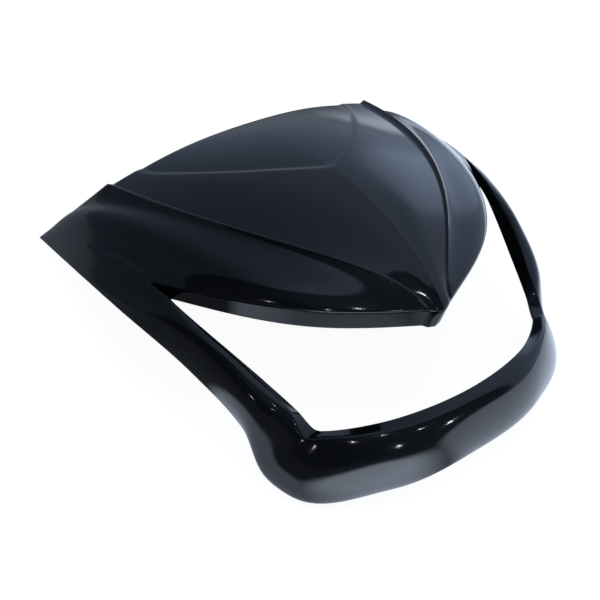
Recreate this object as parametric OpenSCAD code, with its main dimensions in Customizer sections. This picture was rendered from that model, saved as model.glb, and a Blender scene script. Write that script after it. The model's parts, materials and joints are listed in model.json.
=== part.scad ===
// Headlight cowl: one moulded shell with a creased hood, two side arms and a bulged lip
// round a smile-shaped lamp opening. X runs across, +Y towards the hood's rear edge, Z up.
// The sizes below are those of the cowl with its lamp level. It is then laid on the table,
// where its rear corners and the two tongues under its lip touch z = 0.

/* [Hood] */
// Distance from the ear line back to the hood's rear edge, at the middle
hood_back = 199; // [185:1:215]
// Half width of the hood's rear edge, to the outer side of each ridge
ridge_half = 106.5; // [96:0.5:112]
// Height of the rear edge at the middle
rear_h = 112; // [104:1:120]
// Height of the rear edge at the ridges
ridge_h = 98.5; // [92:0.5:104]
// Height of the nose above the table
nose_h = 93.5; // [88:0.5:100]
// How far the nose stands forward of the ear line
nose_reach = 16; // [8:1:22]
// Drop from each side panel down to the middle panel
ridge_step = 1.8; // [0.8:0.1:2.4]
// Drop across the rounded crease behind the middle of the hood
crease_step = 1.2; // [0.4:0.1:1.8]
// Where the crease crosses the middle, as a share of the way from rear edge to nose
crease_apex = 0.36; // [0.3:0.01:0.42]

/* [Sides] */
// Half width across the rear corners
corner_half = 148; // [138:0.5:156]
// Distance from the ear line back to the rear corners
corner_back = 250; // [236:1:264]
// Height of the rear corners, before the cowl is laid on the table
corner_h = 40; // [32:1:46]
// Half width across the outer tips of the lamp opening
tip_half = 124.5; // [118:0.5:132]
// Height of the opening's outer tips
tip_h = 90; // [84:1:96]
// Height of the rim's arch on each side, beside the opening's tip
side_rim_h = 70; // [64:1:74]

/* [Lip] */
// Half width across the ears at the ends of the lip
ear_half = 117; // [110:1:126]
// How far the lip's lower edge stands forward of the ear line
lip_reach = 48; // [40:1:56]
// How far the lip bulges beyond its lower edge
lip_bulge = 13; // [6:1:18]
// Height of the lip's crest at the middle
lip_h = 54; // [48:1:60]

/* [Wall and edges] */
// Wall thickness of the moulding
wall = 2.4; // [2:0.1:3]
// Radius where a face turns into its return flange
crest_r = 3; // [2.8:0.1:4]
// Depth of the return flange under the hood
hood_flange = 16.5; // [12:0.5:19]
// Width of the return flange along each arm
arm_flange = 20; // [15:0.5:24]
// Width of the ledge behind the lip's crest
lip_ledge = 5.5; // [4:0.5:8]

/* [Fastenings] */
// Outer diameter of the two screw posts under the hood
post_d = 9; // [8:0.5:11]
// Bore of the screw posts
post_bore_d = 4.2; // [3:0.1:5]
// Length of the screw posts below the hood
post_len = 24; // [14:1:34]
// Depth of the bore, from the post's lower end
post_bore_depth = 16; // [8:1:20]
// Distance of each post from the middle
post_x = 40; // [30:1:46]
// Distance of the posts back from the hood's nose
post_back = 84; // [76:1:96]
// Hole through each side lug
lug_hole_d = 6.5; // [5:0.5:8]
// Thickness of the side lugs
lug_t = 3; // [2:0.5:4]
// Distance of the side lugs back from the hood's nose
lug_back = 214; // [200:1:226]
// How far the side lugs lie above the rim
lug_rise = 8; // [5:0.5:14]
// How far each side lug reaches in from the wall
lug_reach = 18; // [14:1:24]
// Width of each tongue under the lip
tongue_w = 12; // [8:1:18]
// Height of each tongue, from the table up into the lip
tongue_h = 9; // [7:0.5:12]
// Distance of each tongue from the middle
tongue_x = 56; // [48:1:62]

/* [Hidden] */

// Share of the middle panel's half width at which the crease meets the rear edge
crease_end = 0.82;
// Width of the crease's slope, as a share of the way from rear edge to nose
crease_run = 0.03;
// Rows from the rear edge to the crease, where it has not yet reached the edge
crease_rows = 6;
// Nearest that the crease row comes to the outer edge
row_min = 0.1;
// Rows of the face from its outer edge to its crest
face_rows = 21;
// Rows of the turn at the crest, and of the return flange behind it
turn_rows = 4;
flange_rows = 2;
last_row = face_rows + turn_rows + flange_rows;
// How far the ridge's lower line lies inside its upper line
ridge_run = 3.5;
// Turn of each tongue, which follows the lip's sweep
tongue_turn = 14;

// Sections of the right half, from the middle of the rear edge round to the middle of the lip.
// Each has its outer edge, two points that shape the curve between, its crest and its flange.
OUTER = 0;
SHAPE_A = 1;
SHAPE_B = 2;
CREST = 3;
FLANGE = 4;
sec_middle = [
    [0, hood_back, rear_h], [0, hood_back / 2, rear_h + 32], [0, hood_back * 0.06, nose_h + 37],
    [0, -nose_reach, nose_h], hood_flange * [0, 0.32, -1]];
sec_panel = [
    [ridge_half * 0.515, hood_back, rear_h - 3.5], [ridge_half * 0.42, hood_back * 0.38, rear_h + 29.5],
    [5, 12, nose_h + 31], [4.5, 1.5 - nose_reach, nose_h + 1], hood_flange * [0, 0.28, -1]];
sec_ridge_top = [
    [ridge_half, hood_back + 1, ridge_h], [ridge_half - 24.5, 44, ridge_h + 35],
    [13, 12, nose_h + 24.5], [9, 4 - nose_reach, nose_h + 2], hood_flange * [-0.08, 0.28, -1]];
sec_ridge_foot = [for (k = [OUTER:FLANGE]) k == FLANGE ? sec_ridge_top[k] :
    sec_ridge_top[k] - [[ridge_run, 0, ridge_step], [ridge_run, 1, ridge_step],
        [2, 0.5, ridge_step], [1.6, 0.5, ridge_step / 2]][k]];
sec_side = [
    [(ridge_half + corner_half) / 2, (hood_back + corner_back) / 2, (ridge_h + corner_h) / 2],
    [corner_half - 26, corner_back - 72, ridge_h + 11], [88, 50, tip_h + 31],
    [64, 19, tip_h + 8.5], hood_flange * [-0.168, 0.252, -1.008]];
sec_tip = [
    [corner_half, corner_back, corner_h], [corner_half - 6.5, corner_back - 60, corner_h + 34],
    [tip_half + 5.5, 135, tip_h + 3], [tip_half, 102, tip_h], [-8, -11, -9.5]];
sec_arm_top = [
    [tip_half + 18, 113, side_rim_h], [tip_half + 10, 98, side_rim_h + 8], [tip_half - 1, 77, tip_h - 3],
    [tip_half - 6.5, 66, tip_h - 3], arm_flange * [-0.275, -0.11, -0.44]];
sec_arm_mid = [
    [ear_half + 7, 54, side_rim_h - 17], [ear_half + 6, 47, 63], [ear_half - 2, 36, 77],
    [ear_half - 9, 27, 78], arm_flange * [-0.56, -0.26, -0.8]];
sec_arm_foot = [
    [ear_half - 3.7, 20, 34], [ear_half, 16, 48], [ear_half - 9, 5, 60],
    [ear_half - 19, -3, 60], arm_flange * [-0.48, 0.1, -0.4]];
sec_ear = [
    [ear_half - 10, -5, 8], [ear_half + 5, -2, 8], [ear_half - 17, -9, 42],
    [ear_half - 25, -15.5, 45], lip_ledge * [-1.45, 0.3, 0]];
sec_lip_end = [
    [ear_half - 17, -20, 4], [ear_half, -22, 4], [ear_half - 28, -22, 46],
    [ear_half - 32, -23, lip_h - 6], lip_ledge * [-0.9, 1, -0.5]];
sec_lip_side = [
    [52, 6 - lip_reach, 4], [63, 1 - lip_reach - lip_bulge, 7], [53, 11 - lip_reach - lip_bulge, lip_h - 3],
    [50, 6 - lip_reach, lip_h - 1.5], lip_ledge * [-0.36, 1, 0.1]];
sec_lip = [
    [0, -lip_reach, 4], [0, -lip_reach - lip_bulge - 5, 7], [0, -lip_reach - lip_bulge + 4, lip_h - 3],
    [0, -lip_reach - 1.5, lip_h], lip_ledge * [0, 1, 0.27]];

SECTIONS = [sec_middle, sec_panel, sec_ridge_foot, sec_ridge_top, sec_side, sec_tip,
    sec_arm_top, sec_arm_mid, sec_arm_foot, sec_ear, sec_lip_end, sec_lip_side, sec_lip];
// Steps taken from each section to the next
STEPS = [7, 8, 1, 6, 6, 6, 4, 4, 4, 3, 4, 4];
// Sections at which the rails turn sharply: outer edge, shaping points, crest, flange
SHARP = [[0, [0, 0, 1, 1, 0]], [2, [1, 1, 1, 1, 1]], [3, [1, 1, 1, 1, 1]], [5, [1, 0, 0, 1, 1]]];

last_sec = len(SECTIONS) - 1;

function flipped(p) = [-p[0], p[1], p[2]];
function unit(v) = v / max(norm(v), 1e-9);
function smooth(t) = t * t * (3 - 2 * t);
function clamped(t) = min(1, max(0, t));

// One rail's point at a section, mirrored past the two ends of the half ring
function knot(i, r) = i < 0 ? flipped(SECTIONS[-i][r]) :
    i > last_sec ? flipped(SECTIONS[2 * last_sec - i][r]) : SECTIONS[i][r];
// Spacing between section i and the next, the same for all rails
function gap(i) = (norm(knot(i + 1, OUTER) - knot(i, OUTER)) + norm(knot(i + 1, CREST) - knot(i, CREST))) / 2;
function slope(i, r) = (knot(i + 1, r) - knot(i, r)) / gap(i);
// Direction of a rail through a section, weighted by the spacing on both sides
function through(i, r) = (slope(i - 1, r) * gap(i) + slope(i, r) * gap(i - 1)) / (gap(i - 1) + gap(i));
function is_sharp(i, r) = max([for (s = SHARP) s[0] == i ? s[1][r] : 0]) > 0;
function leaving(i, r) = is_sharp(i, r) ? 1.5 * slope(i, r) - 0.5 * through(i + 1, r) : through(i, r);
function arriving(i, r) = is_sharp(i, r) ? 1.5 * slope(i - 1, r) - 0.5 * through(i - 1, r) : through(i, r);
// A rail's point between section i and the next
function rail(i, t, r) =
    (2 * t^3 - 3 * t^2 + 1) * knot(i, r) + (t^3 - 2 * t^2 + t) * gap(i) * leaving(i, r)
    + (3 * t^2 - 2 * t^3) * knot(i + 1, r) + (t^3 - t^2) * gap(i) * arriving(i + 1, r);

function bezier(c, t) = (1 - t)^3 * c[0] + 3 * (1 - t)^2 * t * c[1] + 3 * (1 - t) * t^2 * c[2] + t^3 * c[3];

// Share of the middle panel's half width at a place on the ring, 1 at the ridge's foot
function panel_share(u) = u / 2;
// Where the crease lies on a section, as a share of the way from its outer edge to its crest
function crease_at(u) = crease_apex * (1 - clamped(panel_share(u) / crease_end)^1.5);
function row_at(j, foot) = j <= crease_rows ? foot * j / crease_rows :
    j == crease_rows + 1 ? foot + crease_run :
    foot + crease_run + (1 - foot - crease_run) * (j - crease_rows - 1) / (face_rows - crease_rows - 1);
// Depth of the crease at share t of a section
function crease_drop(u, t) = panel_share(u) >= crease_end ? 0 :
    crease_step * smooth(clamped((crease_at(u) + crease_run - t) / crease_run))
    * clamped((crease_end - panel_share(u)) / 0.05);

// The outer face of one section, from its outer edge over the crest to the end of its flange
function section_points(u, c) =
    let (into = unit(c[CREST] - c[SHAPE_B]), away = unit(c[FLANGE]),
        turn = acos(max(-1, min(1, into * away))),
        setback = min(crest_r * tan(turn / 2), 0.45 * norm(c[FLANGE]), 1.2 * norm(c[CREST] - c[SHAPE_B])),
        t_end = 1 - setback / (3 * norm(c[CREST] - c[SHAPE_B])),
        start = bezier(c, t_end), finish = c[CREST] + setback * away, edge = c[CREST] + c[FLANGE],
        foot = u <= 2 ? max(row_min, crease_at(u)) : row_min)
    concat(
        [for (j = [0:face_rows]) let (t = row_at(j, foot))
            bezier(c, t * t_end) - [0, 0, crease_drop(u, t)]],
        [for (k = [1:turn_rows]) let (t = k / turn_rows)
            (1 - t)^2 * start + 2 * (1 - t) * t * c[CREST] + t^2 * finish],
        [for (k = [1:flange_rows]) finish + (edge - finish) * k / flange_rows]);

half_ring = [
    for (i = [0:last_sec - 1]) for (k = [0:STEPS[i] - 1]) [i, k / STEPS[i]],
    [last_sec - 1, 1]];
half_face = [for (p = half_ring)
    section_points(p[0] + p[1], [for (r = [OUTER:FLANGE]) rail(p[0], p[1], r)])];
half_count = len(half_face) - 1;
ring_count = 2 * half_count;
// The whole ring, starting at the middle of the rear edge and going round by the right side
face = [for (i = [0:ring_count - 1])
    i <= half_count ? half_face[i] : [for (p = half_face[ring_count - i]) flipped(p)]];

function face_normal(i, j) =
    let (across = face[(i + 1) % ring_count][j] - face[(i + ring_count - 1) % ring_count][j],
        along = face[i][min(j + 1, last_row)] - face[i][max(j - 1, 0)])
    unit(cross(along, across));
// Rows of the inner face, which needs fewer than the outer one
inner_rows = [for (j = [last_row:-1:0])
    if (j >= face_rows - 1 || j == crease_rows || j == crease_rows + 1 || j % 2 == 0) j];
inner = [for (i = [0:ring_count - 1]) [for (j = inner_rows) face[i][j] - wall * face_normal(i, j)]];

// Laying the cowl down: a tilt about X brings the rear corners to the table with the lip, and
// the origin then comes under the middle of the cowl
lie_tilt = atan2(corner_h, corner_back + lip_reach);
function laid(p) = [p[0], p[1] * cos(lie_tilt) + p[2] * sin(lie_tilt), p[2] * cos(lie_tilt) - p[1] * sin(lie_tilt)];
loops = [for (i = [0:ring_count - 1]) [for (p = concat(face[i], inner[i])) laid(p)]];
loop_len = len(loops[0]);
all_y = [for (s = loops) for (p = s) p[1]];
low_z = min([for (s = loops) for (p = s) p[2]]);
shift = [0, -(min(all_y) + max(all_y)) / 2, -low_z];

// The laid shell's inner face, as pairs of a point and its outward direction
inner_at = [for (i = [0:ring_count - 1]) for (j = [0:len(inner_rows) - 1])
    [laid(inner[i][j]) + shift, laid(face_normal(i, inner_rows[j]))]];
function nearest(x, y, z) = let (d = [for (q = inner_at) norm([q[0][0] - x, q[0][1] - y, (q[0][2] - z) * 0.5])])
    inner_at[search(min(d), d)[0]];
// Height of the shell's inside over a place near the top
function ceiling_at(x, y) = let (q = nearest(x, y, 200), n = q[1])
    q[0][2] - (n[0] * (x - q[0][0]) + n[1] * (y - q[0][1])) / n[2];
// Distance of the side wall's inside from the middle, at a height
function side_at(y, z) = let (q = nearest(corner_half, y, z), n = q[1])
    q[0][0] - (n[1] * (y - q[0][1]) + n[2] * (z - q[0][2])) / n[0];

nose_y = laid([0, -nose_reach, nose_h])[1] + shift[1];
post_y = nose_y + post_back;
post_top = ceiling_at(post_x, post_y) + wall / 2;
post_slope = nearest(post_x, post_y, 200)[1];
lug_y = nose_y + lug_back;
// Height of each side's rim at a distance along the cowl
corner_at = STEPS[0] + STEPS[1] + STEPS[2] + STEPS[3] + STEPS[4];
side_rim = [for (i = [corner_at:half_count]) [loops[i][0][1] + shift[1], loops[i][0][2] + shift[2]]];
lug_z = lookup(lug_y, side_rim) + lug_rise;
tongue_y = laid([0, 6 - lip_reach, 4])[1] + shift[1];

module shell() {
    polyhedron(
        points = [for (s = loops) for (p = s) p + shift],
        faces = [for (i = [0:ring_count - 1]) for (j = [0:loop_len - 1])
            let (a = i * loop_len, b = ((i + 1) % ring_count) * loop_len, k = (j + 1) % loop_len)
            for (f = i < half_count ? [[a + j, b + j, a + k], [a + k, b + j, b + k]] :
                [[a + j, b + j, b + k], [a + j, b + k, a + k]]) f],
        convexity = 10);
}

// Screw post, hanging from the hood, with its top cut to the hood's slope half way into the wall
module post() {
    translate([post_x, post_y, post_top]) difference() {
        translate([0, 0, -post_len]) cylinder(d = post_d, h = post_len + post_d, $fn = 48);
        rotate([0, acos(post_slope[2]), atan2(post_slope[1], post_slope[0])])
            translate([-2 * post_d, -2 * post_d, 0]) cube([4 * post_d, 4 * post_d, 3 * post_d]);
    }
}

module post_bore() {
    translate([post_x, post_y, post_top - post_len - 1])
        cylinder(d = post_bore_d, h = post_bore_depth + 1, $fn = 48);
}

// Flat lug on the inside of the side wall, with its root half way into the wall
module lug() {
    half = lug_reach / 2;
    tip_x = side_at(lug_y, lug_z) - lug_reach + half;
    translate([0, 0, lug_z]) linear_extrude(lug_t) union() {
        translate([tip_x, lug_y]) circle(r = half, $fn = 64);
        polygon([
            [tip_x, lug_y - half], [tip_x, lug_y + half],
            [side_at(lug_y + half, lug_z) + wall / 2, lug_y + half],
            [side_at(lug_y - half, lug_z) + wall / 2, lug_y - half]]);
    }
}

module lug_hole() {
    translate([side_at(lug_y, lug_z) - lug_reach / 2, lug_y, lug_z - 1])
        cylinder(d = lug_hole_d, h = lug_t + 2, $fn = 48);
}

// Tongue under the lip, which stands on the table
module tongue() {
    translate([tongue_x, tongue_y + 1, 0]) rotate(tongue_turn)
        translate([-tongue_w / 2, 0, 0]) cube([tongue_w, wall, tongue_h]);
}

module both_sides() {
    children();
    mirror([1, 0, 0]) children();
}

module headlight_cowl() {
    color("#15171a") difference() {
        union() {
            shell();
            both_sides() {
                post();
                lug();
                tongue();
            }
        }
        both_sides() {
            post_bore();
            lug_hole();
        }
    }
}

headlight_cowl();
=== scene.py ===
"""Looks of a moulded headlight cowl, lying on its rim on a pale studio floor.

The cowl is one moulding: a creased hood, two side arms and a bulged lip round a smile-shaped
lamp opening, with screw posts, lugs and tongues moulded on. Sizes are in millimetres until a
mesh is made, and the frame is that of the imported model: X across, +Y to the rear, Z up.
"""

import json
import logging
import math
from dataclasses import dataclass, field
from enum import Enum
from typing import Any, Iterable, Optional, Sequence

import bpy
import numpy as np
from mathutils import Matrix, Vector

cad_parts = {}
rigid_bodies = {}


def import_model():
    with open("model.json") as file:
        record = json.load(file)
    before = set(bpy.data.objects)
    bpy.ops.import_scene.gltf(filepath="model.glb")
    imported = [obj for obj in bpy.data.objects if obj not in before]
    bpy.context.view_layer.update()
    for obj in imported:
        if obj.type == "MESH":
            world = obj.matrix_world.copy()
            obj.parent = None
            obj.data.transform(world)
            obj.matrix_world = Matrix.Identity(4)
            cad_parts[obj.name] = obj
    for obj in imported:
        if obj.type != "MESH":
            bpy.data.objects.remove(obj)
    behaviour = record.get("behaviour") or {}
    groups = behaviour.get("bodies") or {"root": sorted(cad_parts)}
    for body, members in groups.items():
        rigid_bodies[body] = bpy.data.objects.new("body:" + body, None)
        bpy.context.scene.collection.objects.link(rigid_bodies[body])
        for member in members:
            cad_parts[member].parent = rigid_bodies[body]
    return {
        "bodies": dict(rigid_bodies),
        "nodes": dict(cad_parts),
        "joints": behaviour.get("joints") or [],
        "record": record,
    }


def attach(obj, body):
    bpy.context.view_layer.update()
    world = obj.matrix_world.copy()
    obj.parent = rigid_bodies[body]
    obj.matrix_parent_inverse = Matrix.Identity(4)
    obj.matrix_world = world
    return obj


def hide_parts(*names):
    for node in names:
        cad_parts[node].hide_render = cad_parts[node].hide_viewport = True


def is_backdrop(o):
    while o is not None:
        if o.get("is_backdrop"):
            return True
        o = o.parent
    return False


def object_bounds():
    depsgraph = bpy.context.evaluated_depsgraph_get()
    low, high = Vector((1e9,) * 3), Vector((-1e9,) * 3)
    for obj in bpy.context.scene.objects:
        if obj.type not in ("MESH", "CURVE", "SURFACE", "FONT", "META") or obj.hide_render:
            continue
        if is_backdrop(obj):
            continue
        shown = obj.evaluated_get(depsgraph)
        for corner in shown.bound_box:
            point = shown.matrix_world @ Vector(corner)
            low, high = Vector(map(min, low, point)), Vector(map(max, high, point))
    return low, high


MM = 0.001
NODE = "headlight_cowl"
BODY = "root"
# The turn at the crest takes at most these shares of the flange and of the last pull before it
FLANGE_TAKEN = 0.45
PULL_TAKEN = 1.2

log = logging.getLogger(NODE)

Point = tuple[float, float, float]
Solid = tuple[np.ndarray, list[tuple[int, ...]]]
Mounts = dict[str, dict[str, Any]]
Tree = bpy.types.NodeTree
Socket = bpy.types.NodeSocket


class Rail(Enum):
    """Lines of points that run round the cowl, through the same place of every section."""

    EDGE = 0
    PULL_A = 1
    PULL_B = 2
    CREST = 3
    FLANGE = 4


class Side(Enum):
    """Halves of the cowl, by the sign of their X."""

    RIGHT = 1
    LEFT = -1


def linear(colour: str) -> tuple[float, float, float, float]:
    """Turns an sRGB hex colour into Blender's linear colour.

    Args:
        colour: six hex digits.

    Returns:
        Linear red, green and blue, and an alpha of 1.
    """
    parts = [int(colour[k : k + 2], 16) / 255 for k in (0, 2, 4)]
    lin = [c / 12.92 if c <= 0.04045 else ((c + 0.055) / 1.055) ** 2.4 for c in parts]
    return (lin[0], lin[1], lin[2], 1.0)


def add_node(
    tree: Tree, kind: str, inputs: Optional[dict[Any, Any]] = None, **settings: Any
) -> bpy.types.Node:
    """Adds a node to a tree, with its inputs and its settings.

    Args:
        tree: the tree that takes the node.
        kind: the node's type name.
        inputs: input name or index to a value, or to the socket that feeds it.
        settings: attributes to set on the node.

    Returns:
        The new node.
    """
    node = tree.nodes.new(kind)
    for name, value in settings.items():
        setattr(node, name, value)
    for name, value in (inputs or {}).items():
        socket = node.inputs[name]
        if isinstance(value, Socket):
            tree.links.new(value, socket)
        else:
            socket.default_value = value
    return node


def work_out(
    tree: Tree, rows: Iterable[tuple[Any, ...]], known: dict[str, Any]
) -> dict[str, Any]:
    """Adds the operations of a rule, one for each row of its table.

    Args:
        tree: the tree that takes them.
        rows: the result's name, Math or VectorMath, the operation, and then what it works on,
            each a value, a socket or the name of something known.
        known: sockets and values by name, to which the results are added.

    Returns:
        All that is known then.
    """
    for name, kind, operation, *operands in rows:
        keys = (0, "Scale") if operation == "SCALE" else (0, 1)
        values = {k: known[v] if isinstance(v, str) else v for k, v in zip(keys, operands)}
        node = add_node(tree, "ShaderNode" + kind, values, operation=operation)
        number = kind == "Math" or operation in ("LENGTH", "DOT_PRODUCT", "DISTANCE")
        known[name] = node.outputs["Value" if number else "Vector"]
    return known


def new_object(name: str, data: Any) -> bpy.types.Object:
    """Makes an object, linked to the scene.

    Args:
        name: the object's name.
        data: its mesh, light or camera.

    Returns:
        The object.
    """
    obj = bpy.data.objects.new(name, data)
    bpy.context.scene.collection.objects.link(obj)
    return obj


def new_mesh(name: str, points: np.ndarray, faces: Sequence[Sequence[int]]) -> bpy.types.Object:
    """Makes a mesh object from points in millimetres.

    Args:
        name: the object's name.
        points: one row for each point.
        faces: point indices of each face, seen from outside anticlockwise.

    Returns:
        The object, linked to the scene.
    """
    mesh = bpy.data.meshes.new(name)
    mesh.from_pydata((np.asarray(points) * MM).tolist(), [], [list(map(int, f)) for f in faces])
    mesh.update()
    return new_object(name, mesh)


def new_material(name: str) -> tuple[bpy.types.Material, Tree]:
    """Makes a material with an empty node tree.

    Args:
        name: the material's name.

    Returns:
        The material and its tree.
    """
    material = bpy.data.materials.new(name)
    material.use_nodes = True
    material.node_tree.nodes.clear()
    return material, material.node_tree


def store(obj: bpy.types.Object, name: str, values: np.ndarray) -> None:
    """Stores one value for each point of a mesh, for the wall's tree to read.

    Args:
        obj: the mesh's object.
        name: the value's name in that tree.
        values: one value or row for each point.
    """
    kind = WallTree.STORED[name]
    attribute = obj.data.attributes.new(name, kind, "POINT")
    key = "vector" if kind == "FLOAT_VECTOR" else "value"
    number = np.int32 if kind == "INT" else np.float32
    attribute.data.foreach_set(key, np.ascontiguousarray(values, number).ravel())


@dataclass(frozen=True)
class Section:
    """One section of the moulding, in millimetres, with the lamp level.

    The flange leans away from the crest by shares of its width, and the steps are those from
    this section to the next.
    """

    edge: Point
    pull_a: Point
    pull_b: Point
    crest: Point
    lean: Point
    width: float
    steps: int = 4

    def points(self) -> np.ndarray:
        """Gives the section's five rail points as rows, the flange's counted from the crest."""
        flange = np.array(self.lean) * self.width
        return np.array([self.edge, self.pull_a, self.pull_b, self.crest, flange], float)


@dataclass
class CowlSizes:
    """Sizes of the cowl in millimetres.

    They are those of the part's source, apart from the arms, which have a rounder face and a
    narrower flange here, and the lugs' roots, which end inside the side walls.
    """

    # Hood, with its nose and ridges
    hood_back: float = 199
    ridge_half: float = 106.5
    rear_h: float = 112
    ridge_h: float = 98.5
    nose_h: float = 93.5
    nose_reach: float = 16
    ridge_step: float = 1.8
    ridge_run: float = 3.5
    # Crease across the middle panel: its drop, the power of its bow, and then shares of the
    # panel's length and width
    crease_step: float = 1.2
    crease_bow: float = 1.5
    crease_apex: float = 0.36
    crease_run: float = 0.03
    crease_end: float = 0.82
    crease_fade: float = 0.05
    # Rear corners, the opening's tips and the rim beside them
    corner_half: float = 148
    corner_back: float = 250
    corner_h: float = 40
    tip_half: float = 124.5
    tip_h: float = 90
    side_rim_h: float = 70
    # Ears and lip
    ear_half: float = 117
    lip_reach: float = 48
    lip_bulge: float = 13
    lip_h: float = 54
    # Wall, the turn at its crest, and the flanges
    wall: float = 2.4
    crest_r: float = 3
    hood_flange: float = 16.5
    arm_flange: float = 12
    lip_ledge: float = 5.5
    # Posts, lugs and tongues
    post_d: float = 9
    lug_t: float = 3
    lug_reach: float = 18
    lug_root: float = 0.4
    tongue_w: float = 12
    tongue_h: float = 9
    tongue_x: float = 56
    tongue_turn: float = 14
    tongue_set: float = 1

    def sections(self) -> list[Section]:
        """Lists the sections of the right half, from the middle of the rear edge to the lip's.

        Each gives its outer edge, two pulls, its crest, and its flange's lean and width. What is
        added to a size there is how far the curve stands off from it.

        Returns:
            The sections in order.
        """
        back, ridge, ridge_z = self.hood_back, self.ridge_half, self.ridge_h
        corner, corner_y, corner_z = self.corner_half, self.corner_back, self.corner_h
        tip, tip_z, ear, rim = self.tip_half, self.tip_h, self.ear_half, self.side_rim_h
        rear, nose, nose_y = self.rear_h, self.nose_h, self.nose_reach
        lip, lip_z, bulged = self.lip_reach, self.lip_h, self.lip_reach + self.lip_bulge
        hood, arm, ledge = self.hood_flange, self.arm_flange, self.lip_ledge
        step, run = self.ridge_step, self.ridge_run
        top = Section((ridge, back + 1, ridge_z), (ridge - 24.5, 44, ridge_z + 35),
                      (13, 12, nose + 24.5), (9, 4 - nose_y, nose + 2), (-0.08, 0.28, -1), hood, 6)
        below = ((run, 0, step), (run, 1, step), (2, 0.5, step), (1.6, 0.5, step / 2))
        foot = (tuple(row) for row in top.points()[:4] - below)
        return [
            # Middle of the hood
            Section((0, back, rear), (0, back / 2, rear + 32), (0, back * 0.06, nose + 37),
                    (0, -nose_y, nose), (0, 0.32, -1), hood, 7),
            # Middle panel, half way to the ridge
            Section((ridge * 0.515, back, rear - 3.5), (ridge * 0.42, back * 0.38, rear + 29.5),
                    (5, 12, nose + 31), (4.5, 1.5 - nose_y, nose + 1), (0, 0.28, -1), hood, 8),
            # Foot of the ridge, and its top
            Section(*foot, top.lean, hood, 1),
            top,
            # Side panel
            Section(((ridge + corner) / 2, (back + corner_y) / 2, (ridge_z + corner_z) / 2),
                    (corner - 26, corner_y - 72, ridge_z + 11), (88, 50, tip_z + 31),
                    (64, 19, tip_z + 8.5), (-0.16, 0.24, -0.96), hood * 1.05, 6),
            # Rear corner, with the opening's tip
            Section((corner, corner_y, corner_z), (corner - 6.5, corner_y - 60, corner_z + 34),
                    (tip + 5.5, 135, tip_z + 3), (tip, 102, tip_z), (-8, -11, -9.5), 1, 6),
            # Top, middle and foot of the arm
            Section((tip + 18, 113, rim), (tip + 11, 98, rim + 10), (tip, 77, tip_z),
                    (tip - 8.2, 65.3, tip_z - 5.2), (-0.5, -0.2, -0.8), arm * 0.66),
            Section((ear + 7, 54, rim - 17), (ear + 8, 48, 67), (ear + 0.5, 36, 84),
                    (ear - 13.2, 25.1, 72.1), (-0.56, -0.26, -0.8), arm * 1.05),
            Section((ear - 3.7, 20, 34), (ear + 1, 16, 50), (ear - 7, 5, 65),
                    (ear - 22.8, -2.2, 56.8), (-0.48, 0.1, -0.4), arm),
            # Ear
            Section((ear - 10, -5, 8), (ear + 5, -2, 8), (ear - 17, -9, 42),
                    (ear - 25, -15.5, 45), (-1.45, 0.3, 0), ledge, 3),
            # End, side and middle of the lip
            Section((ear - 17, -20, 4), (ear, -22, 4), (ear - 28, -22, 46),
                    (ear - 32, -23, lip_z - 6), (-0.9, 1, -0.5), ledge),
            Section((52, 6 - lip, 4), (63, 1 - bulged, 7), (53, 11 - bulged, lip_z - 3),
                    (50, 6 - lip, lip_z - 1.5), (-0.36, 1, 0.1), ledge),
            Section((0, -lip, 4), (0, -bulged - 5, 7), (0, -bulged + 4, lip_z - 3),
                    (0, -lip - 1.5, lip_z), (0, 1, 0.27), ledge),
        ]


@dataclass
class RailLines:
    """Smooth lines through the sections, mirrored past both ends of the half ring."""

    sections: list[Section]
    # Sections with rails that turn sharply: the middle, both lines of the ridge and the opening's
    # tip, each with a 1 for every rail that does
    SHARP = {0: (0, 0, 1, 1, 0), 2: (1, 1, 1, 1, 1), 3: (1, 1, 1, 1, 1), 5: (1, 0, 0, 1, 1)}

    def __post_init__(self) -> None:
        """Gathers the sections' points in one array."""
        self.table = np.array([s.points() for s in self.sections])
        self.last = len(self.sections) - 1

    def knot(self, i: int) -> np.ndarray:
        """Gives the five rail points of a section, or of its mirror image past an end.

        Args:
            i: the section, below 0 or above the last for a mirror image.

        Returns:
            One point for each rail.
        """
        if 0 <= i <= self.last:
            return self.table[i]
        return self.table[-i if i < 0 else 2 * self.last - i] * (-1, 1, 1)

    def gap(self, i: int) -> float:
        """Gives the spacing between section i and the next, the same for all rails."""
        apart = np.linalg.norm(self.knot(i + 1) - self.knot(i), axis=1)
        return float(apart[Rail.EDGE.value] + apart[Rail.CREST.value]) / 2

    def slope(self, i: int) -> np.ndarray:
        """Gives each rail's straight direction from section i to the next."""
        return (self.knot(i + 1) - self.knot(i)) / self.gap(i)

    def through(self, i: int) -> np.ndarray:
        """Gives each rail's direction through section i, weighted by the spacing."""
        before, after = self.gap(i - 1), self.gap(i)
        return (self.slope(i - 1) * after + self.slope(i) * before) / (before + after)

    def tangent(self, i: int, leaving: bool) -> np.ndarray:
        """Gives each rail's direction at one side of section i.

        Args:
            i: the section.
            leaving: True for the side towards the next section.

        Returns:
            One direction for each rail.
        """
        smooth = self.through(i)
        if i not in self.SHARP:
            return smooth
        inner = self.slope(i if leaving else i - 1)
        # A rail that turns sharply starts off straight, so that it has no bend of its own there
        turned = 1.5 * inner - 0.5 * self.through(i + 1 if leaving else i - 1)
        return np.where(np.array(self.SHARP[i])[:, None] > 0, turned, smooth)

    def at(self, i: int, t: float) -> np.ndarray:
        """Gives the five rail points at a place between two sections.

        Args:
            i: the section before it.
            t: its share of the way to the next.

        Returns:
            One point for each rail.
        """
        rise = 3 * t**2 - 2 * t**3
        lead, trail = t**3 - 2 * t**2 + t, t**3 - t**2
        reach = self.gap(i)
        return (
            (1 - rise) * self.knot(i)
            + lead * reach * self.tangent(i, True)
            + rise * self.knot(i + 1)
            + trail * reach * self.tangent(i + 1, False)
        )


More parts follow.
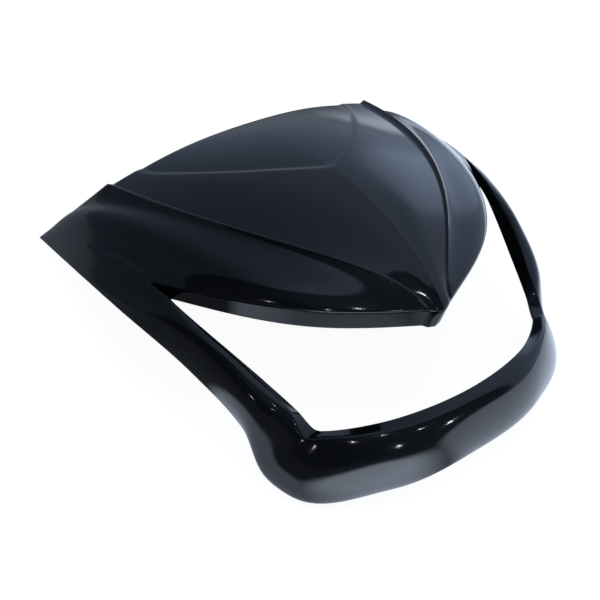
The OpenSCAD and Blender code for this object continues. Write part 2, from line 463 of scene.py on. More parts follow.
@dataclass
class Lay:
    """How the cowl lies: tilted about X on its rear corners and lip, over the frame's origin."""

    sizes: CowlSizes
    shift_y: float = 0.0
    shift_z: float = 0.0

    def __post_init__(self) -> None:
        """Works out the tilt from the height and distance of the rear corners."""
        tilt = math.atan2(self.sizes.corner_h, self.sizes.corner_back + self.sizes.lip_reach)
        self.turn = np.array(Matrix.Rotation(-tilt, 3, "X"))

    def turned(self, vectors: np.ndarray) -> np.ndarray:
        """Tilts directions from the level cowl to the laid one."""
        return vectors @ self.turn.T

    def placed(self, points: np.ndarray) -> np.ndarray:
        """Tilts and moves points from the level cowl to the frame."""
        return self.turned(points) + (0, self.shift_y, self.shift_z)


class WallTree:
    """Geometry Nodes that make the cowl's wall from its rails."""

    INPUTS = {
        "Net": "Geometry", "Wall": "Float", "Crest Radius": "Float", "Crease Drop": "Vector",
        "Skin": "Object", "Fastenings": "Object", "Bores": "Object", "Material": "Material",
    }
    STORED = {"along": "FLOAT", "sunk": "FLOAT", "partner": "INT", "depth": "FLOAT"}
    STORED |= {rail.name: "FLOAT_VECTOR" for rail in Rail}
    # Where the face of a section ends and its flange starts, a setback before and after the
    # crest, and where a point lies on them
    TURN = (
        ("back", "VectorMath", "SUBTRACT", "CREST", "PULL_B"),
        ("back_len", "VectorMath", "LENGTH", "back"),
        ("into", "VectorMath", "NORMALIZE", "back"),
        ("away", "VectorMath", "NORMALIZE", "FLANGE"),
        ("cosine", "VectorMath", "DOT_PRODUCT", "into", "away"),
        ("bend", "Math", "ARCCOSINE", "cosine"),
        ("half_bend", "Math", "MULTIPLY", "bend", 0.5),
        ("slope", "Math", "TANGENT", "half_bend"),
        ("wanted", "Math", "MULTIPLY", "Crest Radius", "slope"),
        ("flange_len", "VectorMath", "LENGTH", "FLANGE"),
        ("flange_most", "Math", "MULTIPLY", "flange_len", FLANGE_TAKEN),
        ("pull_most", "Math", "MULTIPLY", "back_len", PULL_TAKEN),
        ("on_flange_most", "Math", "MINIMUM", "wanted", "flange_most"),
        ("setback", "Math", "MINIMUM", "on_flange_most", "pull_most"),
        ("three_back", "Math", "MULTIPLY", "back_len", 3.0),
        ("taken", "Math", "DIVIDE", "setback", "three_back"),
        ("face_end", "Math", "SUBTRACT", 1.0, "taken"),
        ("t", "Math", "MULTIPLY", "on_face", "face_end"),
        ("reach", "VectorMath", "SCALE", "away", "setback"),
        ("finish", "VectorMath", "ADD", "CREST", "reach"),
        ("end", "VectorMath", "ADD", "CREST", "FLANGE"),
        ("drop", "VectorMath", "SCALE", "Crease Drop", "sunk"),
        ("past_face", "Math", "GREATER_THAN", "along", 1.0),
        ("past_turn", "Math", "GREATER_THAN", "along", 2.0),
    )
    # The section's curves: the result, the share of the way, and the points that shape the curve
    CURVES = (
        ("face", "t", "EDGE", "PULL_A", "PULL_B", "CREST"),
        ("start", "face_end", "EDGE", "PULL_A", "PULL_B", "CREST"),
        ("turn", "on_turn", "start", "CREST", "finish"),
        ("ledge", "on_flange", "finish", "end"),
    )
    # Place of a point of the wall, from its partner on the skin and its depth under it
    WALL = (
        ("below", "Math", "MULTIPLY", "Wall", "depth"),
        ("inward", "VectorMath", "SCALE", "outward", "below"),
        ("wall_place", "VectorMath", "SUBTRACT", "outer", "inward"),
    )

    def __init__(self, name: str) -> None:
        """Makes the tree with its named inputs and the readings of what the nets store.

        Args:
            name: the tree's name.
        """
        self.tree = bpy.data.node_groups.new(name, "GeometryNodeTree")
        face = self.tree.interface
        self.sockets = {
            label: face.new_socket(label, in_out="INPUT", socket_type="NodeSocket" + kind)
            for label, kind in self.INPUTS.items()
        }
        face.new_socket("Cowl", in_out="OUTPUT", socket_type="NodeSocketGeometry")
        start = add_node(self.tree, "NodeGroupInput")
        self.known: dict[str, Any] = {label: start.outputs[label] for label in self.INPUTS}
        for stored, kind in self.STORED.items():
            reading = add_node(
                self.tree, "GeometryNodeInputNamedAttribute", {"Name": stored}, data_type=kind
            )
            self.known[stored] = reading.outputs["Attribute"]

    def skin_place(self) -> Any:
        """Adds the rule that gives each point of the outer skin its place.

        Returns:
            The place's socket.
        """
        tree, known = self.tree, self.known
        for zone, name in enumerate(("on_face", "on_turn", "on_flange")):
            moved = {0: known["along"], 1: float(zone)}
            share = add_node(tree, "ShaderNodeMath", moved, operation="SUBTRACT", use_clamp=True)
            known[name] = share.outputs[0]
        work_out(tree, self.TURN, known)
        for name, way, *shaping in self.CURVES:
            row = [known[point] for point in shaping]
            while len(row) > 1:
                row = [
                    add_node(
                        tree, "ShaderNodeMix",
                        {0: known[way], 4: a, 5: b},
                        data_type="VECTOR", clamp_factor=False,
                    ).outputs[1]
                    for a, b in zip(row, row[1:])
                ]
            known[name] = row[0]
        place = known["face"]
        for past, later in (("past_face", "turn"), ("past_turn", "ledge")):
            choice = {0: known[past], 1: place, 2: known[later]}
            switch = add_node(tree, "GeometryNodeSwitch", choice, input_type="VECTOR")
            place = switch.outputs[0]
        return work_out(tree, [("place", "VectorMath", "ADD", place, "drop")], known)["place"]

    def build(self) -> Tree:
        """Adds the nodes that place the skin, give it its wall and join the fastenings.

        Returns:
            The finished tree.
        """
        tree, known = self.tree, self.known
        skin = add_node(tree, "GeometryNodeObjectInfo", {"Object": known["Skin"]})
        placed = add_node(
            tree, "GeometryNodeSetPosition",
            {"Geometry": skin.outputs["Geometry"], "Position": self.skin_place()},
        )
        for name, source in (("outer", "Position"), ("outward", "Normal")):
            value = add_node(tree, "GeometryNodeInput" + source).outputs[0]
            known[name] = add_node(
                tree, "GeometryNodeSampleIndex",
                {"Geometry": placed.outputs[0], "Value": value, "Index": known["partner"]},
                data_type="FLOAT_VECTOR", domain="POINT",
            ).outputs[0]
        work_out(tree, self.WALL, known)
        wall = add_node(
            tree, "GeometryNodeSetPosition",
            {"Geometry": known["Net"], "Position": known["wall_place"]},
        )
        last = wall.outputs[0]
        for label, operation, first in (
            ("Fastenings", "UNION", "Mesh 2"),
            ("Bores", "DIFFERENCE", "Mesh 1"),
        ):
            other = add_node(tree, "GeometryNodeObjectInfo", {"Object": known[label]})
            cut = add_node(
                tree, "GeometryNodeMeshBoolean", {first: last},
                operation=operation, solver="MANIFOLD",
            )
            tree.links.new(other.outputs["Geometry"], cut.inputs["Mesh 2"])
            last = cut.outputs["Mesh"]
        solid = add_node(tree, "GeometryNodeRealizeInstances", {"Geometry": last})
        dressed = add_node(
            tree, "GeometryNodeSetMaterial",
            {"Geometry": solid.outputs[0], "Material": known["Material"]},
        )
        add_node(tree, "NodeGroupOutput", {0: dressed.outputs[0]})
        return tree


@dataclass
class Shell:
    """The moulded wall: hood, side arms and lip in one loft round the lamp opening."""

    sizes: CowlSizes
    # Section at which the middle panel ends, at the foot of the ridge
    panel_end: int = 2
    # Stations for each step of a section, and rows of each part of it
    fine: int = 3
    rows_before: int = 26
    rows_crease: int = 6
    rows_after: int = 54
    rows_turn: int = 10
    rows_flange: int = 6
    # Rows before the turn from which the wall's inside is as fine as its outside
    rows_inside: int = 4
    # Shares of the face: the least at which the crease lies, and the row next to the rim
    row_min: float = 0.1
    rim_row: float = 0.0025
    # Share of the flange between its last two rows
    flange_row: float = 0.025
    # Share of the wall that the rounding at the rim and at the flange's end takes
    rim_round: float = 0.16

    def __post_init__(self) -> None:
        """Works out the ring of stations, their rows and how the cowl lies."""
        sections = self.sizes.sections()
        self.rails = RailLines(sections)
        stations = [
            (i, k / (s.steps * self.fine))
            for i, s in enumerate(sections[:-1])
            for k in range(s.steps * self.fine)
        ] + [(self.rails.last - 1, 1.0)]
        half = np.array([self.rails.at(i, t) for i, t in stations])
        place = np.array([i + t for i, t in stations])
        self.ring = np.concatenate([half, half[-2:0:-1] * (-1, 1, 1)])
        places = np.concatenate([place, place[-2:0:-1]])
        self.rows = np.array([self.along(p) for p in places])
        self.sinking = np.array([self.sunk(p, row) for p, row in zip(places, self.rows)])
        self.lay = Lay(self.sizes)
        self.settle()

    def crease_at(self, place: float) -> float:
        """Gives the crease's share of the way from rear edge to nose, at a place on the ring."""
        s, share = self.sizes, place / self.panel_end
        return s.crease_apex * (1 - min(1.0, share / s.crease_end) ** s.crease_bow)

    def along(self, place: float) -> np.ndarray:
        """Lists how far along its section each row of the skin lies.

        Args:
            place: the station's place on the half ring, in sections.

        Returns:
            Shares, 0 to 1 on the face, to 2 on the turn and to 3 on the flange.
        """
        in_panel = place <= self.panel_end
        foot = max(self.row_min, self.crease_at(place)) if in_panel else self.row_min
        top = foot + self.sizes.crease_run
        return np.concatenate(
            [
                [0.0],
                np.linspace(self.rim_row, foot, self.rows_before),
                np.linspace(foot, top, self.rows_crease + 1)[1:],
                np.linspace(top, 1, self.rows_after + 1)[1:],
                np.linspace(1, 2, self.rows_turn + 1)[1:],
                np.linspace(2, 3 - self.flange_row, self.rows_flange + 1)[1:],
                [3.0],
            ]
        )

    def sunk(self, place: float, along: np.ndarray) -> np.ndarray:
        """Gives how far each row lies below the crease's upper side.

        Args:
            place: the station's place on the half ring, in sections.
            along: how far along its section each row lies.

        Returns:
            Shares of the crease's drop.
        """
        s = self.sizes
        share = place / self.panel_end
        if share >= s.crease_end:
            return np.zeros_like(along)
        t = np.clip((self.crease_at(place) + s.crease_run - along) / s.crease_run, 0, 1)
        return t * t * (3 - 2 * t) * min(1.0, (s.crease_end - share) / s.crease_fade)

    def skin_points(self) -> np.ndarray:
        """Works out the outer skin's points as the node tree does, in millimetres, level.

        Returns:
            An array of stations by rows by three.
        """
        out = []
        for (edge, a, b, crest, flange), along in zip(self.ring, self.rows):
            back, reach = np.linalg.norm(crest - b), np.linalg.norm(flange)
            bend = math.acos(np.clip((crest - b) @ flange / back / reach, -1, 1))
            wanted = self.sizes.crest_r * math.tan(bend / 2)
            setback = min(wanted, FLANGE_TAKEN * reach, PULL_TAKEN * back)
            t = np.clip(along, 0, 1)[:, None] * (1 - setback / (3 * back))
            left = 1 - t
            face = left**3 * edge + 3 * left**2 * t * a + 3 * left * t**2 * b + t**3 * crest
            start = face[np.argmax(along >= 1)]
            finish = crest + flange * setback / reach
            u = np.clip(along - 1, 0, 1)[:, None]
            turn = (1 - u) ** 2 * start + 2 * (1 - u) * u * crest + u**2 * finish
            v = np.clip(along - 2, 0, 1)[:, None]
            ledge = finish + (crest + flange - finish) * v
            late = along[:, None]
            out.append(np.where(late > 2, ledge, np.where(late > 1, turn, face)))
        points = np.array(out)
        points[..., 2] -= self.sinking * self.sizes.crease_step
        return points

    def settle(self) -> None:
        """Moves the laid cowl over the frame's origin, with its lowest place at zero."""
        points = self.lay.turned(self.skin_points())
        self.outward = self.normals(points)
        both = np.concatenate([points, points - self.sizes.wall * self.outward])
        self.lay.shift_y = -(both[..., 1].min() + both[..., 1].max()) / 2
        self.lay.shift_z = -both[..., 2].min()
        self.outer = points + (0, self.lay.shift_y, self.lay.shift_z)

    @staticmethod
    def normals(points: np.ndarray) -> np.ndarray:
        """Gives the outward direction at each point of a ring of rows.

        Args:
            points: an array of stations by rows by three.

        Returns:
            Directions of length 1, in the same layout.
        """
        across = np.roll(points, -1, axis=0) - np.roll(points, 1, axis=0)
        down = np.gradient(points, axis=1)
        cross = np.cross(down, across)
        return cross / np.maximum(np.linalg.norm(cross, axis=2, keepdims=True), 1e-9)

    def inside_near(
        self, place: Sequence[float], weights: Sequence[float]
    ) -> tuple[np.ndarray, np.ndarray]:
        """Finds the nearest place on the wall's inside.

        Args:
            place: a place in the frame, in millimetres.
            weights: how much a distance along X, Y and Z counts.

        Returns:
            The place on the inside, and the outward direction there.
        """
        inner = self.outer - self.sizes.wall * self.outward
        away = np.linalg.norm((inner - place) * weights, axis=2)
        i, j = np.unravel_index(np.argmin(away), away.shape)
        return inner[i, j], self.outward[i, j]

    def neighbours(self, size: int) -> list[tuple[int, int]]:
        """Gives the first point of each station and of the next, where each has size points."""
        return [(i * size, (i + 1) % len(self.ring) * size) for i in range(len(self.ring))]

    def skin(self) -> bpy.types.Object:
        """Makes the open net of the outer skin, which holds its rails as attributes.

        Returns:
            The net's object.
        """
        rows = self.rows.shape[1]
        faces = [
            (a + j, a + j + 1, b + j + 1, b + j)
            for a, b in self.neighbours(rows)
            for j in range(rows - 1)
        ]
        obj = new_mesh("cowl_skin", self.outer.reshape(-1, 3), faces)
        for rail in Rail:
            line = self.ring[:, rail.value]
            line = self.lay.turned(line) if rail is Rail.FLANGE else self.lay.placed(line)
            store(obj, rail.name, np.repeat(line * MM, rows, axis=0))
        store(obj, "along", self.rows)
        store(obj, "sunk", self.sinking)
        return obj

    def net(self) -> bpy.types.Object:
        """Makes the closed net of the wall, whose points name their partner on the skin.

        Returns:
            The net's object.
        """
        count, rows = self.rows.shape
        turn_at = self.rows_before + self.rows_crease + self.rows_after
        kept = [
            j
            for j in range(rows - 2, 0, -1)
            if j >= turn_at - self.rows_inside
            or j % 2 == 0
            or 0 < j - self.rows_before <= self.rows_crease
        ]
        loop = [(j, 0.0) for j in range(1, rows - 1)]
        loop += [(rows - 1, self.rim_round), (rows - 1, 1 - self.rim_round)]
        loop += [(j, 1.0) for j in kept]
        loop += [(0, 1 - self.rim_round), (0, self.rim_round)]
        partner = np.array([[i * rows + j for j, _ in loop] for i in range(count)]).ravel()
        size = len(loop)
        faces = [
            (a + j, a + (j + 1) % size, b + (j + 1) % size, b + j)
            for a, b in self.neighbours(size)
            for j in range(size)
        ]
        obj = new_mesh("cowl_wall", self.outer.reshape(-1, 3)[partner], faces)
        store(obj, "partner", partner)
        store(obj, "depth", np.tile([depth for _, depth in loop], count))
        return obj


@dataclass
class Fastenings:
    """Screw posts, side lugs and tongues, which are moulded on the inside of the wall."""

    shell: Shell
    mounts: Mounts
    round_steps: int = 48
    # A height above the whole hood, in millimetres, how much heights count from there, and how
    # much distances across count beside the lug
    above: float = 200
    above_weight: float = 0.5
    across_weight: float = 0.5
    # How far a cut goes past a mouth, in millimetres
    past: float = 1

    def place(self, name: str) -> list[float]:
        """Gives a mount's place in millimetres."""
        return [v / MM for v in self.mounts[name]["pos_m"]]

    @staticmethod
    def prism(outline: np.ndarray, low: Any, high: Any) -> Solid:
        """Makes a closed upright prism.

        Args:
            outline: points of the outline, anticlockwise from above.
            low: height of the bottom, one for all points or one for each.
            high: height of the top, in the same way.

        Returns:
            The prism's points and faces.
        """
        n = len(outline)
        bottom = np.column_stack([outline, np.broadcast_to(low, n)])
        top = np.column_stack([outline, np.broadcast_to(high, n)])
        faces = [tuple(range(n - 1, -1, -1)), tuple(range(n, 2 * n))]
        faces += [(k, (k + 1) % n, n + (k + 1) % n, n + k) for k in range(n)]
        return np.concatenate([bottom, top]), faces

    def circle(self, centre: Sequence[float], radius: float) -> np.ndarray:
        """Gives the outline of a circle."""
        a = np.linspace(0, 2 * math.pi, self.round_steps, endpoint=False)
        return np.column_stack([centre[0] + radius * np.cos(a), centre[1] + radius * np.sin(a)])

    def post(self) -> Solid:
        """Makes the right screw post, with its top cut to the hood's slope.

        Returns:
            Its points and faces.
        """
        sizes = self.shell.sizes
        x, y, z = self.place("hood_post_right")
        outline = self.circle((x, y), sizes.post_d / 2)
        point, out = self.shell.inside_near((x, y, self.above), (1, 1, self.above_weight))
        rise = (outline - point[:2]) @ out[:2] / out[2]
        return self.prism(outline, z, point[2] + sizes.wall / 2 - rise)

    def lug(self) -> Solid:
        """Makes the right side lug, a flat round-ended tab with its root in the wall.

        Returns:
            Its points and faces.
        """
        sizes = self.shell.sizes
        x, y, z = self.place("side_lug_right")
        half = sizes.lug_reach / 2
        a = np.linspace(math.pi / 2, 3 * math.pi / 2, self.round_steps // 2 + 1)
        nose = np.column_stack([x + half * np.cos(a), y + half * np.sin(a)])
        roots = []
        for side in (-half, half):
            beside, weights = (sizes.corner_half, y + side, z), (self.across_weight, 1, 1)
            point, out = self.shell.inside_near(beside, weights)
            gap = (out[1] * (y + side - point[1]) + out[2] * (z - point[2])) / out[0]
            roots.append((point[0] - gap + sizes.lug_root, y + side))
        return self.prism(np.concatenate([nose, roots]), z, z + sizes.lug_t)

    def tongue(self) -> Solid:
        """Makes the right tongue, which stands on the floor behind the edge of the lip's side.

        Returns:
            Its points and faces.
        """
        sizes = self.shell.sizes
        edge = self.shell.lay.placed(self.shell.rails.table[-2, Rail.EDGE.value])
        turn, half, wall = math.radians(sizes.tongue_turn), sizes.tongue_w / 2, sizes.wall
        box = np.array([(-half, 0), (half, 0), (half, wall), (-half, wall)])
        spin = np.array([(math.cos(turn), math.sin(turn)), (-math.sin(turn), math.cos(turn))])
        middle = np.array([sizes.tongue_x, edge[1] + sizes.tongue_set])
        return self.prism(box @ spin + middle, 0.0, sizes.tongue_h)

    def both_sides(self, name: str, solids: list[Solid]) -> bpy.types.Object:
        """Makes one mesh of solids and their mirror images.

        Args:
            name: the object's name.
            solids: points and faces of each solid on the right.

        Returns:
            The mesh object.
        """
        points: list[np.ndarray] = []
        faces: list[tuple[int, ...]] = []
        for side in Side:
            for corners, sides in solids:
                base = sum(len(p) for p in points)
                points.append(corners * (side.value, 1, 1))
                # A mirrored face is listed backwards, so that it still points outwards
                faces += [tuple(base + k for k in face[:: side.value]) for face in sides]
        return new_mesh(name, np.concatenate(points), faces)

    def solids(self) -> bpy.types.Object:
        """Makes the posts, lugs and tongues of both sides."""
        return self.both_sides("fastenings", [self.post(), self.lug(), self.tongue()])

    def bores(self) -> bpy.types.Object:
        """Makes the shapes that the blind bores and the through holes take out.

        Returns:
            One object with all of them.
        """
        cuts = []
        for name, past in (("hood_post_right", 0.0), ("side_lug_right", self.past)):
            x, y, z = self.place(name)
            dims = self.mounts[name]["dims"]
            top = z + dims["length_mm"] + past
            cuts.append(self.prism(self.circle((x, y), dims["r_mm"]), z - self.past, top))
        return self.both_sides("bores", cuts)


@dataclass(frozen=True)
class GlossBlackAbs:
    """Gloss-black ABS, injection moulded in a polished steel mould.

    The polished mould gives sharp reflections over a black that is slightly blue. A faint orange
    peel from the melt breaks them up, fine dust lies on it, and the edges, which no mould makes
    quite sharp, catch a thin line of light.
    """

    name: str = "moulded_gloss_black_abs"
    body: str = "07080a"
    dust: str = "6d747c"
    ior: float = 1.46
    roughness: float = 0.06
    # Waves of the orange peel, their height, and how much of it shows
    peel_mm: float = 9.0
    peel_height_mm: float = 0.2
    peel_strength: float = 0.02
    # Specks of dust, as coarse as they need to be to show, how far they cover the black, and how
    # much rougher the densest ones are
    speck_mm: float = 0.9
    dust_cover: float = 0.05
    dust_rough: float = 0.1
    # Radius of the moulded edges
    edge_mm: float = 1.2
    edge_samples: int = 6
    # Detail and roughness of the noise in the peel and in the specks, and the levels of the specks
    # at which the cover starts, the roughness starts and both end
    peel_noise: tuple[float, float] = (2.0, 0.4)
    speck_noise: tuple[float, float] = (3.0, 0.7)
    cover_from: float = 0.5
    rough_from: float = 0.3
    dust_to: float = 0.8

    def build(self) -> bpy.types.Material:
        """Makes the material's nodes.

        Returns:
            The material.
        """
        material, tree = new_material(self.name)
        place = add_node(tree, "ShaderNodeTexCoord").outputs["Object"]
        peel, specks = (
            add_node(
                tree, "ShaderNodeTexNoise",
                {"Vector": place, "Scale": 1 / (size * MM), "Detail": detail, "Roughness": rough},
            ).outputs["Fac"]
            for size, (detail, rough) in (
                (self.peel_mm, self.peel_noise),
                (self.speck_mm, self.speck_noise),
            )
        )
        edges = add_node(
            tree, "ShaderNodeBevel", {"Radius": self.edge_mm * MM}, samples=self.edge_samples
        )
        bump = add_node(
            tree, "ShaderNodeBump",
            {"Height": peel, "Strength": self.peel_strength,
             "Distance": self.peel_height_mm * MM, "Normal": edges.outputs[0]},
        )
        dusty, rough = (
            add_node(
                tree, "ShaderNodeMapRange",
                {0: specks, 1: start, 2: self.dust_to, 3: least, 4: most},
            ).outputs[0]
            for start, least, most in (
                (self.cover_from, 0.0, self.dust_cover),
                (self.rough_from, self.roughness, self.roughness + self.dust_rough),
            )
        )
        shades = {0: dusty, 6: linear(self.body), 7: linear(self.dust)}
        colour = add_node(tree, "ShaderNodeMix", shades, data_type="RGBA")
        shader = add_node(
            tree, "ShaderNodeBsdfPrincipled",
            {"Base Color": colour.outputs[2], "Roughness": rough,
             "IOR": self.ior, "Normal": bump.outputs["Normal"]},
        )
        add_node(tree, "ShaderNodeOutputMaterial", {"Surface": shader.outputs[0]})
        return material


@dataclass
class Cowl:
    """The whole moulding, from its shell to its finished piece."""

    shell: Shell
    mounts: Mounts
    box: tuple[Vector, Vector]
    finish: GlossBlackAbs = field(default_factory=GlossBlackAbs)
    # Angle between faces above which their edge is shaded sharp
    sharp_deg: float = 38

    def keep_inside(self, mesh: bpy.types.Mesh) -> None:
        """Moves the few points that lie hundredths of a millimetre outside the CAD box onto it.

        Args:
            mesh: the moulding's mesh.
        """
        points = np.empty(3 * len(mesh.vertices), np.float32)
        mesh.vertices.foreach_get("co", points)
        mesh.vertices.foreach_set("co", np.clip(points.reshape(-1, 3), *self.box).ravel())
        mesh.update()

    def build(self) -> bpy.types.Object:
        """Builds the moulding and ties it to the frame.

        Returns:
            The finished piece.
        """
        shell, sizes = self.shell, self.shell.sizes
        fastenings = Fastenings(shell, self.mounts)
        skin, net = shell.skin(), shell.net()
        solids, bores = fastenings.solids(), fastenings.bores()
        wall = WallTree("moulded_wall")
        modifier = net.modifiers.new("moulded_wall", "NODES")
        modifier.node_group = wall.build()
        values = {
            "Wall": sizes.wall * MM,
            "Crest Radius": sizes.crest_r * MM,
            "Crease Drop": tuple(shell.lay.turned(np.array([0, 0, -sizes.crease_step])) * MM),
            "Skin": skin,
            "Fastenings": solids,
            "Bores": bores,
            "Material": self.finish.build(),
        }
        for label, value in values.items():
            modifier[wall.sockets[label].identifier] = value
        net.update_tag()
        graph = bpy.context.evaluated_depsgraph_get()
        mesh = bpy.data.meshes.new_from_object(net.evaluated_get(graph))
        for helper in (net, skin, solids, bores):
            bpy.data.objects.remove(helper)
        self.keep_inside(mesh)
        mesh.shade_smooth()
        mesh.set_sharp_from_angle(angle=math.radians(self.sharp_deg))
        piece = new_object("cowl_moulding", mesh)
        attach(piece, BODY)
        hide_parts(NODE)
        return piece


@dataclass(frozen=True)
class Studio:
    """Pale floor, soft lights and the photograph's camera, in metres."""

    floor_half: float = 1.1
    floor_front: float = 0.55
    floor_rear: float = 1.3
    floor_colour: str = "f4f4f4"
    floor_white: float = 0.8
    floor_glow: float = 1.18
    # Painted pools of light on the floor, standing in for window light, which only reflections see:
    # centre, radius where it starts to fade, radius where it ends, and brightness
    painted_light_pools: tuple[tuple[Point, float, float, float], ...] = (
        ((0.36, -0.14, 0.0), 0.35, 0.38, 2.0),
        ((-0.1, -0.225, 0.0), 0.05, 0.12, 5.4),
        ((-0.13, -0.1, 0.0), 0.055, 0.07, 1.7),
        ((-0.03, -0.085, 0.0), 0.04, 0.07, 1.6),
        ((0.66, 0.36, 0.0), 0.15, 0.45, 1.8),
        ((0.0, 0.9, 0.0), 0.45, 0.7, 0.33),
        ((0.7, 1.0, 0.0), 0.45, 0.8, 0.45),
        ((-0.25, 0.35, 0.0), 0.15, 0.4, 0.24),
    )
    # Tint of the painted glow that reflections see on the floor
    painted_light_tint: str = "dceaff"
    # Level of the painted glow that reflections see on the floor outside the painted pools
    floor_dim: float = 0.06
    # Painted shade: the glow that reflections see is taken down to nothing on the floor that the
    # cowl stands over
    painted_shade_centre: Point = (0.0, 0.06, 0.0)
    painted_shade_reach: tuple[float, float] = (0.08, 0.13)
    # Reach of the ambient occlusion that paints shade near the cowl into the glow that reflections
    # see
    shade_reach: float = 0.2
    # Levels of the room round the cowl, multiplied: a direction, and pairs of the cosine to it
    # and the level there, the two ends first. They are the window on the right, the dark front
    # of the room, the bright strip low on the right and the ceiling light
    room_levels: tuple[tuple[Point, tuple[tuple[float, float], ...]], ...] = (
        (
            (0.95, -0.2, 0.1),
            (
                *((-1, 0.36), (1, 1.15), (-0.7, 0.22), (-0.25, 0.35)),
                *((0, 0.5), (0.3, 0.61), (0.5, 0.77), (0.8, 1)),
            ),
        ),
        (
            (-0.55, -0.83, 0.0),
            ((-1, 1), (1, 0.4), (0.1, 1), (0.17, 0.95), (0.23, 0.2), (0.4, 0.25)),
        ),
        ((0.82, 0.5, 0.28), ((-1, 1), (1, 2.1), (0.88, 1), (0.93, 1.05), (0.97, 1.8))),
        ((-0.35, -0.25, 0.9), ((-1, 1), (1, 2.7), (0.5, 1), (0.73, 1.2), (0.82, 1.4), (0.96, 2.5))),
    )
    room_colour: str = "c6dcff"
    # The camera's angles in degrees, and its place in millimetres with the cowl's lamp level
    azimuth: float = -33.67
    elevation: float = 41.23
    eye: Point = (-249.8, -246.3, 390.6)
    lens: float = 48.0
    sensor: float = 36.0
    clip: tuple[float, float] = (0.01, 50.0)
    # Small lamps low round the front, which give the crests and the lip their glints
    spots: tuple[tuple[str, Point], ...] = (
        ("lamp_left_low", (-1.21, -0.5, 0.24)),
        ("lamp_front_left", (-0.64, -0.83, 0.47)),
        ("lamp_front_low", (-0.19, -1.12, 0.15)),
        ("lamp_front", (0.09, -0.99, 0.55)),
        ("lamp_front_right", (0.36, -1.06, 0.14)),
        ("lamp_hood", (-0.25, -0.73, 0.82)),
    )
    spot_aim: Point = (0.0, 0.0, 0.05)
    spot_size: float = 0.022
    spot_power: float = 0.22
    softbox_place: Point = (0.0, 0.1, 1.3)
    softbox_size: float = 0.7
    softbox_power: float = 3.0

    def floor(self) -> None:
        """Makes the floor, which is white to the camera and keeps the cowl's soft shadow, while in
        reflections its glow is painted with pools of light and with shade round the cowl.
        """
        side, front, rear = self.floor_half / MM, self.floor_front / MM, self.floor_rear / MM
        corners = [(-side, -front, 0), (side, -front, 0), (side, rear, 0), (-side, rear, 0)]
        obj = new_mesh("studio_floor", np.array(corners), [(0, 1, 2, 3)])
        material, tree = new_material("matt_white_board")
        matt = add_node(tree, "ShaderNodeBsdfDiffuse", {"Color": linear(self.floor_colour)})
        place = add_node(tree, "ShaderNodeTexCoord").outputs["Object"]
        path = add_node(tree, "ShaderNodeLightPath")
        camera = path.outputs["Is Camera Ray"]
        # Painted shade under the cowl: a dark disc in the glow that reflections see
        under = self.round_patch(tree, place, self.painted_shade_centre, self.painted_shade_reach, (0.0, 1.0))
        # Painted shade near the cowl, from ambient occlusion
        shade = add_node(tree, "ShaderNodeAmbientOcclusion", {"Distance": self.shade_reach})
        rows = []
        # Painted pools of light, which reflections see on the floor
        for centre, inner, outer, bright in self.painted_light_pools:
            patch = self.round_patch(tree, place, centre, (inner, outer), (bright, 0.0))
            rows.append(("lit", "Math", "MAXIMUM", patch, "lit"))
        rows += [
            # The painted shade darkens the painted pools of light
            ("lit", "Math", "MULTIPLY", "lit", under),
            ("lit", "Math", "MULTIPLY", "lit", shade.outputs["AO"]),
            # The camera, reflections and glass see the floor's glow, evenly white to the camera and
            # painted with pools of light and shade in reflections
            ("seen", "Math", "MAXIMUM", camera, path.outputs["Is Glossy Ray"]),
            ("seen", "Math", "MAXIMUM", "seen", path.outputs["Is Transmission Ray"]),
            ("share", "Math", "MULTIPLY", "seen", self.floor_white),
        ]
        known = work_out(tree, rows, {"lit": self.floor_dim})
        # Rays other than the camera's see the floor glow at the painted level and in the painted
        # tint
        glows = {0: camera, 2: known["lit"], 3: self.floor_glow}
        glow = add_node(tree, "ShaderNodeMix", glows, data_type="FLOAT")
        tints = {0: camera, 6: linear(self.painted_light_tint), 7: linear("ffffff")}
        tint = add_node(tree, "ShaderNodeMix", tints, data_type="RGBA")
        white = add_node(
            tree, "ShaderNodeEmission", {"Color": tint.outputs[2], "Strength": glow.outputs[0]}
        )
        parts = {0: known["share"], 1: matt.outputs[0], 2: white.outputs[0]}
        mixed = add_node(tree, "ShaderNodeMixShader", parts)
        add_node(tree, "ShaderNodeOutputMaterial", {"Surface": mixed.outputs[0]})
        obj.data.materials.append(material)
        obj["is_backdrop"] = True

    @staticmethod
    def round_patch(
        tree: Tree,
        place: Socket,
        centre: Point,
        reach: tuple[float, float],
        levels: tuple[float, float],
    ) -> Socket:
        """Adds a level that changes softly from the inside of a circle to its outside.

        Args:
            tree: the floor's tree.
            place: the place on the floor.
            centre: the circle's centre.
            reach: radii where the change starts and ends.
            levels: levels inside and outside.

        Returns:
            The level's socket.
        """
        away = work_out(tree, [("away", "VectorMath", "DISTANCE", place, centre)], {})["away"]
        return add_node(
            tree, "ShaderNodeMapRange",
            dict(enumerate((away, *reach, *levels))),
            interpolation_type="SMOOTHSTEP",
        ).outputs[0]

    @staticmethod
    def level_at(
        tree: Tree,
        looking: Socket,
        way: Point,
        levels: Sequence[tuple[float, float]],
    ) -> Socket:
        """Adds the room's level in a direction, by how nearly it points one way.

        Args:
            tree: the world's tree.
            looking: the direction.
            way: the direction that the levels are counted from.
            levels: pairs of the cosine and its level, the two ends first.

        Returns:
            The level's socket.
        """
        unit = Vector(way).normalized()
        known = work_out(tree, [("cosine", "VectorMath", "DOT_PRODUCT", looking, unit)], {})
        ramp = add_node(tree, "ShaderNodeFloatCurve", {"Value": known["cosine"]})
        ramp.mapping.use_clip = False
        curve = ramp.mapping.curves[0]
        for end, level in zip(curve.points, levels):
            end.location = level
        for level in levels[2:]:
            curve.points.new(*level)
        ramp.mapping.update()
        return ramp.outputs[0]

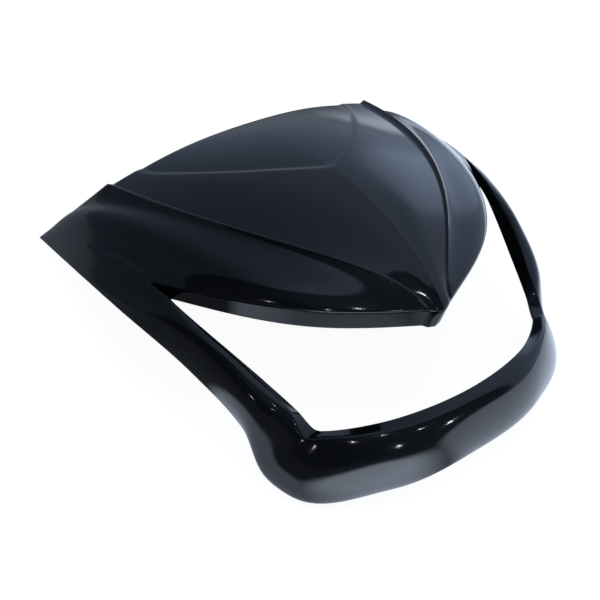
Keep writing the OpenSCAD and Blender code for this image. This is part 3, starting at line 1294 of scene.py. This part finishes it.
    def world(self) -> None:
        """Makes the white backdrop and the dim room round it."""
        world = bpy.data.worlds.new("studio")
        bpy.context.scene.world = world
        world.use_nodes = True
        tree = world.node_tree
        tree.nodes.clear()
        looking = add_node(tree, "ShaderNodeTexCoord").outputs["Generated"]
        rows = [
            ("level", "Math", "MULTIPLY", "level", self.level_at(tree, looking, way, levels))
            for way, levels in self.room_levels
        ]
        level = work_out(tree, rows, {"level": 1.0})["level"]
        room, white = (
            add_node(
                tree, "ShaderNodeBackground", {"Color": linear(colour), "Strength": strength}
            ).outputs[0]
            for colour, strength in ((self.room_colour, level), ("ffffff", 1.0))
        )
        camera = add_node(tree, "ShaderNodeLightPath").outputs["Is Camera Ray"]
        mixed = add_node(tree, "ShaderNodeMixShader", {0: camera, 1: room, 2: white})
        add_node(tree, "ShaderNodeOutputWorld", {"Surface": mixed.outputs[0]})

    @staticmethod
    def lamp(name: str, place: Point, aim: Point, size: float, power: float) -> bpy.types.Object:
        """Makes one square light.

        Args:
            name: the light's name.
            place: where it stands, in metres.
            aim: the point it shines at.
            size: the side of its square, in metres.
            power: its power in watts.

        Returns:
            The light.
        """
        data = bpy.data.lights.new(name, "AREA")
        data.energy, data.size = power, size
        lamp = new_object(name, data)
        lamp.location = place
        lamp.rotation_mode = "QUATERNION"
        lamp.rotation_quaternion = (Vector(aim) - Vector(place)).to_track_quat("-Z", "Y")
        return lamp

    def camera(self, lay: Lay) -> None:
        """Puts the camera where the photograph was taken from.

        Args:
            lay: how the cowl lies, because the camera was measured with its lamp level.
        """
        a, e = math.radians(self.azimuth), math.radians(self.elevation)
        right = np.array([math.cos(a), math.sin(a), 0])
        back = np.array([math.sin(a) * math.cos(e), -math.cos(a) * math.cos(e), math.sin(e)])
        turned = lay.turned(np.array([right, np.cross(back, right), back]))
        data = bpy.data.cameras.new("photo_camera")
        data.sensor_width, data.lens = self.sensor, self.lens
        data.clip_start, data.clip_end = self.clip
        camera = new_object("photo_camera", data)
        frame = Matrix(turned.T.tolist()).to_4x4()
        frame.translation = Vector(lay.placed(np.array(self.eye)) * MM)
        camera.matrix_world = frame
        bpy.context.scene.camera = camera

    def build(self, lay: Lay) -> None:
        """Builds the whole studio round the cowl.

        Args:
            lay: how the cowl lies.
        """
        self.floor()
        self.world()
        for name, place in self.spots:
            self.lamp(name, place, self.spot_aim, self.spot_size, self.spot_power)
        softbox = self.lamp(
            "softbox", self.softbox_place, (0, 0, 0), self.softbox_size, self.softbox_power
        )
        softbox.visible_glossy = False
        self.camera(lay)
        bpy.context.scene.view_settings.view_transform = "Standard"


def main() -> None:
    """Builds the cowl and its studio, and reports each piece."""
    logging.basicConfig(level=logging.INFO, format="%(name)s: %(message)s")
    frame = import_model()
    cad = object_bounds()
    mounts = {m["name"]: m for m in frame["record"]["mounts"]}
    shell = Shell(CowlSizes())
    piece = Cowl(shell, mounts, cad).build()
    mesh = piece.data
    mesh.calc_loop_triangles()
    count = len(mesh.loop_triangles)
    log.info("%s: %d points, %d triangles", piece.name, len(mesh.vertices), count)
    Studio().build(shell.lay)
    log.info("studio: floor, backdrop, lights and camera")


if __name__ == "__main__":
    main()
